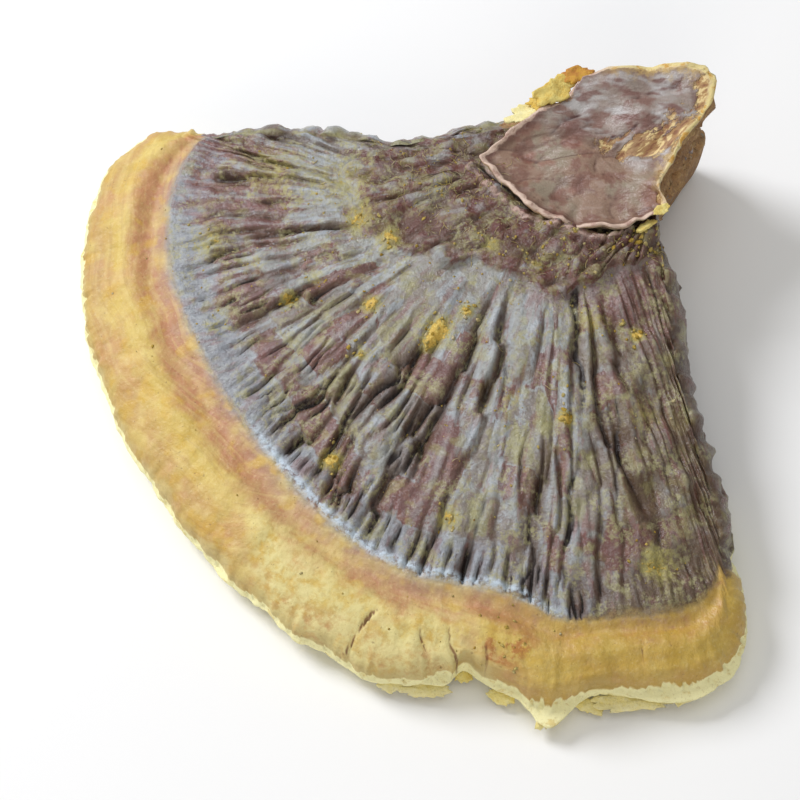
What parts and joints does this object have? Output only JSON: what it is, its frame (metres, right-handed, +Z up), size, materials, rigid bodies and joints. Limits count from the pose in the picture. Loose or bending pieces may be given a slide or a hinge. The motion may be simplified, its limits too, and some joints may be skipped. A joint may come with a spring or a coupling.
{
  "type": "dried reishi mushroom bracket",
  "caption": "Dried reishi bracket, a ribbed lilac-brown fan with a rolled golden margin, a pale pore face and a torn stub",
  "frame": {"origin": "under the middle of the bracket's box, on the surface that its pore face lies on", "axes": "+Z up out of the ribbed crust, Y from the front lip to the torn stub, X across the fan with the stub to +X"},
  "size_m": [0.1198, 0.1208, 0.0323],
  "materials": {
    "bracket": "dried lilac-brown ribbed crust with a golden margin and a pale pore face"
  },
  "bodies": {
    "root": {"reishi_bracket": "bracket"}
  },
  "joints": []
}
